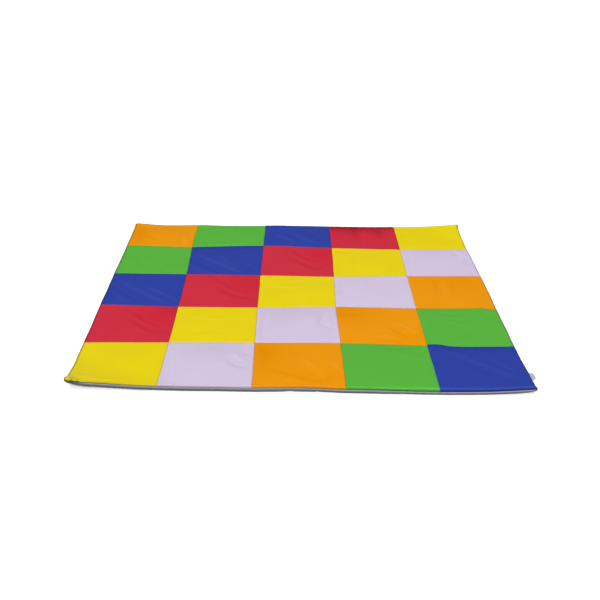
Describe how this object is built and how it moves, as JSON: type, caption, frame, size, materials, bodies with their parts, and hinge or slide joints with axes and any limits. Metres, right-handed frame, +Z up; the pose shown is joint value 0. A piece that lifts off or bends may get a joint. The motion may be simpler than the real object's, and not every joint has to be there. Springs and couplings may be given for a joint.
{
  "type": "padded play mat",
  "caption": "Square padded play mat of sewn wipe-clean vinyl squares in mixed colours over a grey base, lying flat with its corners slightly lifted.",
  "frame": {"origin": "centre of the flat underside, on the floor", "axes": "+Z up out of the coloured top, +Y towards the back edge, +X towards the right side, where the label tape is"},
  "size_m": [1.5218, 1.5031, 0.0372],
  "materials": {
    "orange_vinyl": "satin vinyl, fine soft grain",
    "green_vinyl": "satin vinyl, fine soft grain",
    "blue_vinyl": "satin vinyl, fine soft grain",
    "red_vinyl": "satin vinyl, fine soft grain",
    "yellow_vinyl": "satin vinyl, fine soft grain",
    "lilac_vinyl": "satin vinyl, fine soft grain",
    "grey_vinyl": "satin vinyl, fine soft grain",
    "label_tape": "woven white tape, blank"
  },
  "bodies": {
    "root": {"pad": "grey_vinyl", "panel_r1_c1": "orange_vinyl", "panel_r1_c2": "green_vinyl", "panel_r1_c3": "blue_vinyl", "panel_r1_c4": "red_vinyl", "panel_r1_c5": "yellow_vinyl", "panel_r2_c1": "green_vinyl", "panel_r2_c2": "blue_vinyl", "panel_r2_c3": "red_vinyl", "panel_r2_c4": "yellow_vinyl", "panel_r2_c5": "lilac_vinyl", "panel_r3_c1": "blue_vinyl", "panel_r3_c2": "red_vinyl", "panel_r3_c3": "yellow_vinyl", "panel_r3_c4": "lilac_vinyl", "panel_r3_c5": "orange_vinyl", "panel_r4_c1": "red_vinyl", "panel_r4_c2": "yellow_vinyl", "panel_r4_c3": "lilac_vinyl", "panel_r4_c4": "orange_vinyl", "panel_r4_c5": "green_vinyl", "panel_r5_c1": "yellow_vinyl", "panel_r5_c2": "lilac_vinyl", "panel_r5_c3": "orange_vinyl", "panel_r5_c4": "green_vinyl", "panel_r5_c5": "blue_vinyl", "label_tab": "label_tape"}
  },
  "joints": []
}
